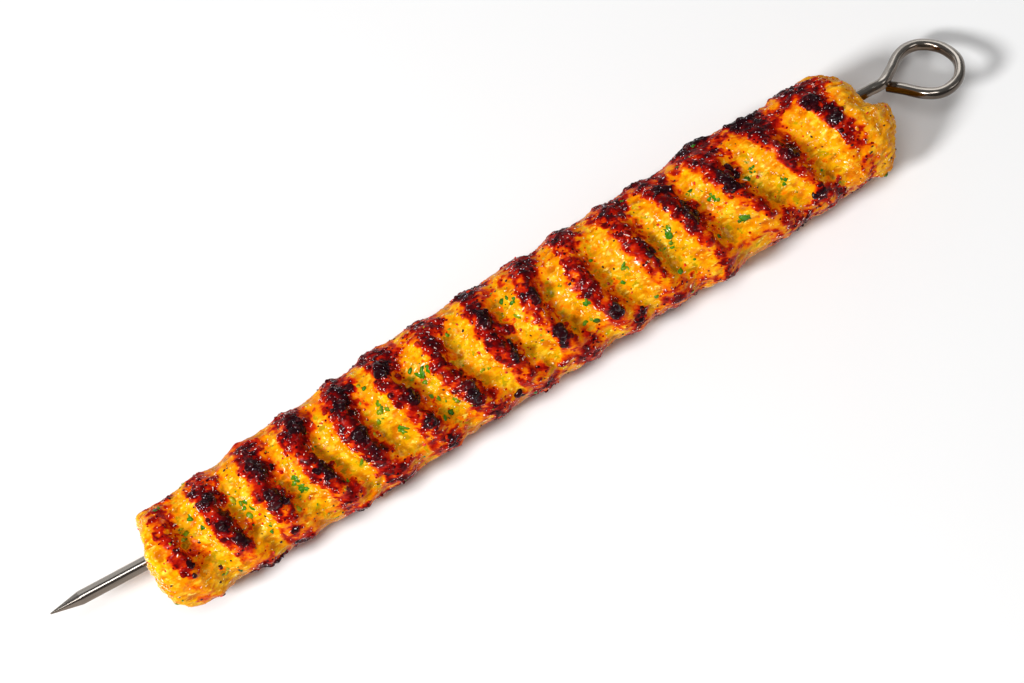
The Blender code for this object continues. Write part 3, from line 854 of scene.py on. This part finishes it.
def add_herbs(skin):
    """Chopped herb pressed into the paste, most of it in the grooves."""
    chance = np.random.RandomState(7)
    clear = 1.0 - ramp(skin.looks["burn"], -0.1, 0.2)
    clump = ramp(read_noise(skin.points, 4.5, 21), 0.05, 0.55) ** 2
    weight = 0.02 + ramp(skin.looks["floor"], 0.4, 0.9) * clear * (0.04 + 2.0 * clump)
    pick = skin.choose(chance, HERBS, weight)
    length = 0.5 + 2.3 * chance.uniform(0.0, 1.0, HERBS) ** 2.0
    width = length * chance.uniform(0.4, 0.9, HERBS)
    tone = np.clip(chance.uniform(0.0, 1.0, HERBS) ** 1.3, 0.0, 1.0)
    bunches = []
    for x, degrees, long, wide, green in LARGE_HERBS:
        for _ in range(5):
            spot = skin.nearest(x + chance.normal(0.0, 0.20 * long),
                                degrees + chance.normal(0.0, 1.2 * wide))
            bunches.append((spot, long * chance.uniform(0.40, 0.88),
                            wide * chance.uniform(0.5, 1.0), green + chance.uniform(0.0, 0.35)))
    bunches = np.array(bunches)
    pick = np.concatenate([pick, bunches[:, 0].astype(int)])
    length = np.concatenate([length, bunches[:, 1]])
    width = np.concatenate([width, bunches[:, 2]])
    tone = np.concatenate([tone, bunches[:, 3]])
    shapes, faces, plan = flakes(chance, length, width, chance.uniform(0.2, 0.4, len(pick)))
    spots = skin.points[pick] + skin.normals[pick] * chance.uniform(-0.20, 0.08, (len(pick), 1))
    tilted = skin.normals[pick] + chance.normal(0.0, 0.16, (len(pick), 3))
    tilted /= np.linalg.norm(tilted, axis=-1, keepdims=True)
    shapes = set_on_skin(shapes, spots, tilted, chance)
    obj = joined_mesh("herb_pieces", shapes, faces, plan, {"tone": tone})
    obj.data.materials.append(herb_material())


def add_chilli(skin):
    chance = np.random.RandomState(8)
    weight = 1.0 - 0.9 * ramp(skin.looks["burn"], 0.1, 0.5)
    pick = skin.choose(chance, CHILLI, weight)
    length = chance.uniform(0.4, 1.2, CHILLI)
    width = length * chance.uniform(0.5, 0.95, CHILLI)
    shapes, faces, plan = flakes(chance, length, width, chance.uniform(0.2, 0.4, CHILLI))
    spots = skin.points[pick] + skin.normals[pick] * 0.05
    shapes = set_on_skin(shapes, spots, skin.normals[pick], chance)
    obj = joined_mesh("chilli_flakes", shapes, faces, plan,
                      {"tone": chance.uniform(0.0, 1.0, CHILLI)})
    obj.data.materials.append(chilli_material())


def add_pepper(skin):
    """Ground pepper and burnt crumbs scattered over the paste."""
    chance = np.random.RandomState(9)
    corners, faces = ball_shape()
    weight = 1.0 - 0.8 * ramp(skin.looks["burn"], 0.3, 0.6)
    weight = weight * (1.0 - 0.8 * ramp(-skin.normals[:, 0], 0.5, 0.8))
    pick = skin.choose(chance, PEPPER, weight)
    size = chance.uniform(0.12, 0.34, PEPPER)
    rough = chance.uniform(0.75, 1.2, (PEPPER, len(corners), 1))
    squash = chance.uniform(0.6, 1.5, (PEPPER, 1, 3))
    shapes = corners[None] * squash * rough * size[:, None, None]
    shapes = set_on_skin(shapes, skin.points[pick], skin.normals[pick], chance)
    obj = joined_mesh("pepper_grains", shapes, faces, corners[:, :2],
                      {"tone": chance.uniform(0.0, 1.0, PEPPER)})
    obj.data.materials.append(pepper_material())


# ---- materials ----------------------------------------------------------------
def colour(red, green, blue):
    """Screen colour, 0 to 255, as the linear value that a shader takes."""
    values = []
    for part in (red, green, blue):
        part = part / 255.0
        values.append(part / 12.92 if part <= 0.04045 else ((part + 0.055) / 1.055) ** 2.4)
    return (*values, 1.0)


class Nodes:
    """Short calls to put shader nodes together."""

    def __init__(self, name):
        self.material = bpy.data.materials.new(name)
        self.material.use_nodes = True
        self.tree = self.material.node_tree
        self.shader = self.tree.nodes["Principled BSDF"]
        self.place = self.add("ShaderNodeTexCoord").outputs["Object"]

    def add(self, kind, **settings):
        node = self.tree.nodes.new(kind)
        for key, value in settings.items():
            setattr(node, key, value)
        return node

    def feed(self, node, key, value):
        if isinstance(value, bpy.types.NodeSocket):
            self.tree.links.new(value, node.inputs[key])
        else:
            node.inputs[key].default_value = value

    def attribute(self, name):
        return self.add("ShaderNodeAttribute", attribute_name=name).outputs["Fac"]

    def noise(self, size, detail=2.0, roughness=0.5, stretch=None):
        node = self.add("ShaderNodeTexNoise")
        self.feed(node, "Vector", self.stretched(stretch))
        self.feed(node, "Scale", 1.0 / (size * MM))
        self.feed(node, "Detail", detail)
        self.feed(node, "Roughness", roughness)
        return node.outputs["Fac"]

    def stretched(self, stretch):
        if stretch is None:
            return self.place
        node = self.add("ShaderNodeMapping")
        self.feed(node, "Vector", self.place)
        self.feed(node, "Scale", stretch)
        return node.outputs["Vector"]

    def cells(self, size, kind="F1"):
        node = self.add("ShaderNodeTexVoronoi", feature=kind)
        self.feed(node, "Vector", self.place)
        self.feed(node, "Scale", 1.0 / (size * MM))
        return node

    def math(self, operation, a, b=0.0, c=0.0, clamp=False):
        node = self.add("ShaderNodeMath", operation=operation, use_clamp=clamp)
        for key, value in enumerate((a, b, c)):
            self.feed(node, key, value)
        return node.outputs[0]

    def between(self, value, low, high, to_low=0.0, to_high=1.0):
        node = self.add("ShaderNodeMapRange", interpolation_type="SMOOTHSTEP")
        for key, part in zip(("Value", "From Min", "From Max", "To Min", "To Max"),
                             (value, low, high, to_low, to_high)):
            self.feed(node, key, part)
        return node.outputs["Result"]

    def mix(self, factor, first, second, blend="MIX"):
        node = self.add("ShaderNodeMix", data_type="RGBA", blend_type=blend)
        self.feed(node, "Factor", factor)
        self.feed(node, 6, first)
        self.feed(node, 7, second)
        return node.outputs[2]

    def colours(self, factor, stops):
        node = self.add("ShaderNodeValToRGB")
        elements = node.color_ramp.elements
        while len(elements) < len(stops):
            elements.new(0.5)
        for element, (position, value) in zip(elements, stops):
            element.position = position
            element.color = value
        self.feed(node, "Fac", factor)
        return node.outputs["Color"]

    def bump(self, height, depth, strength=1.0):
        node = self.add("ShaderNodeBump")
        self.feed(node, "Height", height)
        self.feed(node, "Distance", depth * MM)
        self.feed(node, "Strength", strength)
        return node.outputs["Normal"]


def meat_material():
    n = Nodes("glazed_meat")
    burn = n.attribute("burn")
    floor = n.attribute("floor")
    rise = n.attribute("rise")
    cap = n.attribute("far_cap")
    broad = n.noise(7.0, 3.0, 0.6)
    middle = n.noise(2.4, 3.0, 0.6)
    fine = n.noise(0.9, 2.0, 0.5)
    streak = n.noise(1.5, 2.0, 0.5, (0.45, 1.0, 1.0))
    paste = n.colours(n.between(broad, 0.3, 0.7), (
        (0.0, colour(230, 134, 2)), (0.5, colour(238, 158, 3)), (1.0, colour(242, 180, 8))))
    paste = n.mix(n.between(middle, 0.46, 0.66, 0.0, 0.7), paste, colour(224, 108, 2))
    paste = n.mix(n.math("MULTIPLY", n.between(floor, 0.35, 0.95), 0.5), paste,
                  colour(214, 166, 8))
    green = n.math("MULTIPLY", n.between(middle, 0.47, 0.37), n.between(floor, 0.4, 0.8))
    paste = n.mix(n.math("MULTIPLY", green, 0.65), paste, colour(124, 132, 6))
    # painted shade: hollows between the grains darker brown
    paste = n.mix(n.between(rise, -0.6, 0.0, 0.75, 0.0), paste, colour(186, 82, 1))
    # painted highlight: tops of the grains paler yellow
    paste = n.mix(n.between(rise, 0.15, 0.6, 0.0, 0.7), paste, colour(252, 204, 56))
    # painted highlight: pale yellow streaks of wet shine across the paste
    paste = n.mix(n.between(streak, 0.56, 0.68, 0.0, 0.5), paste, colour(252, 208, 56))
    # painted shade: thin dark orange lines standing in for shaded creases
    crease = n.math("ABSOLUTE", n.math("SUBTRACT", n.noise(2.6, 1.0, 0.5, (0.7, 1.0, 1.0)), 0.5))
    paste = n.mix(n.between(crease, 0.0, 0.06, 0.3, 0.0), paste, colour(186, 84, 1))
    # painted highlight: small pale yellow glints of wet shine
    gleam = n.noise(1.3, 2.0, 0.55, (0.7, 1.0, 1.0))
    paste = n.mix(n.between(gleam, 0.62, 0.70, 0.0, 0.7), paste, colour(255, 226, 100))
    # painted shade: brown (136, 72, 3) on the slope past each ridge that faces away from the key light
    shade = n.math("MULTIPLY", n.attribute("lee_painted_shade"), n.between(fine, 0.35, 0.65, 0.45, 0.85))
    paste = n.mix(shade, paste, colour(136, 72, 3))
    pale = n.mix(n.between(streak, 0.42, 0.58), colour(222, 124, 4), colour(244, 176, 28))
    pale = n.mix(n.between(broad, 0.54, 0.66, 0.0, 0.4), pale, colour(242, 176, 110))
    paste = n.mix(n.math("MULTIPLY", cap, 0.55), paste, pale)
    drift = n.math("MULTIPLY_ADD", n.math("SUBTRACT", fine, 0.5), 0.45, burn)
    drift = n.math("MULTIPLY_ADD", n.math("SUBTRACT", middle, 0.5), 0.35, drift)
    specks = n.cells(1.5)
    dots = n.math("MULTIPLY", n.between(specks.outputs["Distance"], 0.32, 0.18),
                  n.between(specks.outputs["Color"], 0.55, 0.7))
    dots = n.math("MULTIPLY", dots, n.between(burn, -0.45, 0.1, 0.0, 0.65))
    drift = n.math("ADD", drift, dots)
    flecks = n.cells(2.4)
    spots = n.math("MULTIPLY", n.between(flecks.outputs["Distance"], 0.17, 0.10),
                   n.between(flecks.outputs["Color"], 0.55, 0.65))
    drift = n.math("MULTIPLY_ADD", spots, 0.55, drift)
    roast = n.colours(n.between(drift, -0.3, 1.1), ROAST)
    skin = n.mix(n.between(drift, -0.3, -0.05), paste, roast)
    n.feed(n.shader, "Base Color", skin)
    pools = n.between(n.noise(2.2, 1.0, 0.5), 0.52, 0.62, 0.0, 0.32)
    wet(n, n.between(fine, 0.3, 0.7, 0.12, 0.3), n.math("MULTIPLY", pools, n.attribute("top")))
    n.feed(n.shader, "Subsurface Weight", 0.06)
    n.feed(n.shader, "Subsurface Radius", (1.6 * MM, 0.7 * MM, 0.2 * MM))
    n.feed(n.shader, "Subsurface Scale", 1.0)
    n.feed(n.shader, "Normal", n.bump(n.noise(1.2, 1.0, 0.5), 0.22, 0.8))
    return n.material


ROAST = (                   # from orange paste to coal, by how burnt it is
    (0.00, colour(236, 140, 3)), (0.14, colour(222, 98, 3)), (0.28, colour(196, 48, 5)),
    (0.43, colour(166, 20, 8)), (0.60, colour(126, 7, 5)), (0.76, colour(86, 7, 9)),
    (0.92, colour(54, 9, 14)), (1.0, colour(32, 8, 13)))


def wet(n, roughness, coat, level=0.02):
    """A thin film of fat: hardly any shine below it, so the colours stay deep."""
    n.feed(n.shader, "Roughness", roughness)
    n.feed(n.shader, "Specular IOR Level", level)
    n.feed(n.shader, "Coat Weight", coat)
    n.feed(n.shader, "Coat Roughness", 0.06)


def char_material(name, shine):
    n = Nodes(name)
    fine = n.noise(0.5, 2.0, 0.5)
    drift = n.math("MULTIPLY_ADD", n.math("SUBTRACT", fine, 0.5), 0.4, n.attribute("burn"))
    n.feed(n.shader, "Base Color", n.colours(n.between(drift, -0.3, 1.1), ROAST))
    pools = n.between(n.noise(1.6, 1.0, 0.5), 0.45, 0.55, 0.0, shine)
    wet(n, n.between(fine, 0.3, 0.7, 0.1, 0.3), n.math("MULTIPLY", pools, n.attribute("top")))
    n.feed(n.shader, "Normal", n.bump(n.noise(0.9, 1.0, 0.5), 0.2, 0.6))
    return n.material


def bead_material():
    n = Nodes("pale_fat_painted_glints")
    burn = n.attribute("burn")
    # painted glints: near white on the paste, pink on red crust, pale lavender on black crust, with whiter spots
    base = n.mix(n.attribute("tone"), colour(255, 206, 90), colour(255, 240, 200))
    base = n.mix(n.between(burn, 0.0, 0.35), base, colour(250, 196, 180))
    base = n.mix(n.between(burn, 0.45, 0.8), base, colour(214, 204, 220))
    n.feed(n.shader, "Base Color", n.mix(n.between(n.noise(0.4), 0.4, 0.7, 0.0, 0.4), base,
                                        colour(255, 250, 240)))
    wet(n, n.between(n.noise(0.6), 0.3, 0.7, 0.05, 0.2), 0.5, 0.8)
    return n.material


def herb_material():
    n = Nodes("chopped_herb")
    tone = n.attribute("tone")
    base = n.colours(tone, ((0.0, colour(22, 84, 6)), (0.35, colour(56, 124, 6)),
                            (0.7, colour(124, 140, 4)), (1.0, colour(186, 164, 6))))
    vein = n.noise(0.5, 2.0, 0.6, (0.5, 1.0, 1.0))
    n.feed(n.shader, "Base Color", n.mix(n.between(vein, 0.35, 0.7, 0.0, 0.5), base,
                                        colour(76, 116, 6)))
    wet(n, n.between(vein, 0.3, 0.7, 0.2, 0.4), 0.1, 0.2)
    n.feed(n.shader, "Normal", n.bump(vein, 0.2, 0.6))
    return n.material


def chilli_material():
    n = Nodes("chilli")
    base = n.mix(n.attribute("tone"), colour(226, 30, 8), colour(160, 14, 8))
    mottle = n.noise(0.5, 2.0, 0.6)
    n.feed(n.shader, "Base Color", n.mix(n.between(mottle, 0.4, 0.7, 0.0, 0.5), base,
                                        colour(236, 84, 10)))
    wet(n, n.between(mottle, 0.3, 0.7, 0.2, 0.4), 0.3, 0.3)
    n.feed(n.shader, "Normal", n.bump(mottle, 0.15, 0.5))
    return n.material


def pepper_material():
    n = Nodes("ground_pepper")
    base = n.mix(n.attribute("tone"), colour(26, 14, 12), colour(78, 30, 12))
    mottle = n.noise(0.3, 2.0, 0.6)
    n.feed(n.shader, "Base Color", n.mix(n.between(mottle, 0.4, 0.7, 0.0, 0.5), base,
                                        colour(16, 10, 10)))
    wet(n, n.between(mottle, 0.3, 0.7, 0.2, 0.5), 0.1, 0.2)
    n.feed(n.shader, "Normal", n.bump(mottle, 0.1, 0.5))
    return n.material


def steel_material():
    """Drawn steel: fine scratches along the bar; painted reflections give the brown inside the loop, the dark
    outer side of the loop, the darker lower side and the lighter upper side.
    """
    n = Nodes("ground_steel")
    wound = n.add("ShaderNodeCombineXYZ")
    n.feed(wound, "X", n.math("MULTIPLY", n.attribute("run"), 0.04))
    n.feed(wound, "Y", n.math("MULTIPLY", n.attribute("around_c"), 2.0))
    n.feed(wound, "Z", n.math("MULTIPLY", n.attribute("around_s"), 2.0))
    scratch = n.add("ShaderNodeTexNoise")
    n.feed(scratch, "Vector", wound.outputs["Vector"])
    n.feed(scratch, "Scale", 3.0)
    n.feed(scratch, "Detail", 3.0)
    n.feed(scratch, "Roughness", 0.6)
    streak = scratch.outputs["Fac"]
    stain = n.noise(14.0, 3.0, 0.6)
    base = n.mix(n.between(stain, 0.4, 0.7), colour(150, 142, 134), colour(128, 116, 104))
    # painted reflection: brown on the loop's inner side
    base = n.mix(n.between(n.attribute("inner"), 0.2, 0.8, 0.0, 0.7), base, colour(112, 92, 74))
    # painted reflection: lighter upper side of the bar
    base = n.mix(n.between(n.attribute("around_s"), 0.3, 0.8, 0.0, 0.5), base,
                 colour(190, 184, 176))
    # painted reflection: darker brown on the bar's lower side
    base = n.mix(n.between(n.attribute("around_c"), 0.6, 0.9, 0.0, 0.6), base, colour(108, 92, 78))
    # painted reflection: dark outer side of the loop
    base = n.mix(n.between(n.attribute("inner"), -0.2, -0.8, 0.0, 0.75), base, colour(72, 62, 54))
    base = n.mix(n.between(streak, 0.5, 0.75, 0.0, 0.35), base, colour(86, 76, 68))
    n.feed(n.shader, "Base Color", base)
    n.feed(n.shader, "Metallic", 1.0)
    n.feed(n.shader, "Roughness", n.between(streak, 0.3, 0.7, 0.13, 0.22))
    n.feed(n.shader, "Normal", n.bump(streak, 0.012, 0.4))
    return n.material


def floor_material():
    n = Nodes("pale_table")
    shade = n.noise(220.0, 2.0, 0.5)
    n.feed(n.shader, "Base Color", n.mix(shade, (0.80, 0.80, 0.80, 1.0), (0.84, 0.84, 0.84, 1.0)))
    n.feed(n.shader, "Roughness", 0.9)
    n.feed(n.shader, "Specular IOR Level", 0.1)
    return n.material


# ---- studio -------------------------------------------------------------------
CAMERA_ELEVATION = 70.0
CAMERA_YAW = 34.1355
CAMERA_TARGET = (-0.003975, -0.000094, 0.0164)
CAMERA_DISTANCE = 0.95
CAMERA_LENS = 121.04
CAMERA_SHIFT = (-2.1 / 1024.0, -5.1 / 1024.0)


def add_camera():
    rise = math.radians(CAMERA_ELEVATION)
    yaw = math.radians(CAMERA_YAW)
    level = Vector((math.sin(yaw), math.cos(yaw), 0.0))
    right = Vector((math.cos(yaw), -math.sin(yaw), 0.0))
    back = Vector((0.0, 0.0, math.sin(rise))) - level * math.cos(rise)
    up = back.cross(right)
    data = bpy.data.cameras.new("camera")
    data.lens = CAMERA_LENS
    data.sensor_width = 36.0
    data.shift_x, data.shift_y = CAMERA_SHIFT
    data.clip_start = 0.01
    camera = bpy.data.objects.new("camera", data)
    camera.matrix_world = Matrix.Translation(Vector(CAMERA_TARGET) + back * CAMERA_DISTANCE) @ \
        Matrix((right, up, back)).transposed().to_4x4()
    bpy.context.scene.collection.objects.link(camera)
    bpy.context.scene.camera = camera


def add_light(name, place_at, size, power, length=None):
    """A soft round light that faces the origin; length stretches it, roughly along X."""
    data = bpy.data.lights.new(name, "AREA")
    data.shape = "ELLIPSE"
    data.size = size
    data.size_y = size if length is None else length
    data.energy = power
    lamp = bpy.data.objects.new(name, data)
    lamp.location = place_at
    lamp.rotation_euler = Vector(place_at).to_track_quat("Z", "Y").to_euler()
    bpy.context.scene.collection.objects.link(lamp)


def add_studio():
    add_light("key", (-1.16, -0.16, 1.06), 0.34, 27.0)
    add_light("overhead", (-0.33, -0.14, 1.50), 0.45, 8.0, 0.95)
    add_light("fill", (1.10, -0.45, 0.90), 0.60, 2.0)
    add_light("card", (0.93, 1.22, 0.32), 0.55, 1.3)
    add_light("low_card", (-0.07, 1.50, 0.20), 0.50, 0.4)
    world = bpy.data.worlds.new("studio")
    world.use_nodes = True
    background = world.node_tree.nodes["Background"]
    background.inputs["Color"].default_value = (1.0, 1.0, 1.0, 1.0)
    background.inputs["Strength"].default_value = 0.16
    bpy.context.scene.world = world
    bpy.context.scene.view_settings.view_transform = "Standard"


def add_floor():
    mesh = bpy.data.meshes.new("table")
    half = 3.0
    mesh.from_pydata([(-half, -half, 0), (half, -half, 0), (half, half, 0), (-half, half, 0)],
                     [], [(0, 1, 2, 3)])
    obj = bpy.data.objects.new("table", mesh)
    obj.location.z = -0.0002
    obj.data.materials.append(floor_material())
    bpy.context.scene.collection.objects.link(obj)


def main():
    shift = roll_shift()
    points, normals, station, turn, looks = build_skin(shift)
    skin = grid_mesh("kofta_skin", points, looks)
    skin.data.materials.append(meat_material())
    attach(skin, "root")
    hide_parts("kofta")
    spots = Skin(points, normals, station, turn, looks)
    add_char(spots)
    add_coal(spots)
    add_beads(spots)
    add_herbs(spots)
    add_chilli(spots)
    add_pepper(spots)
    points, looks = build_steel(shift)
    steel = grid_mesh("skewer_steel", points, looks)
    steel.data.materials.append(steel_material())
    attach(steel, "root")
    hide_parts("skewer")
    add_camera()
    add_studio()
    add_floor()


main()
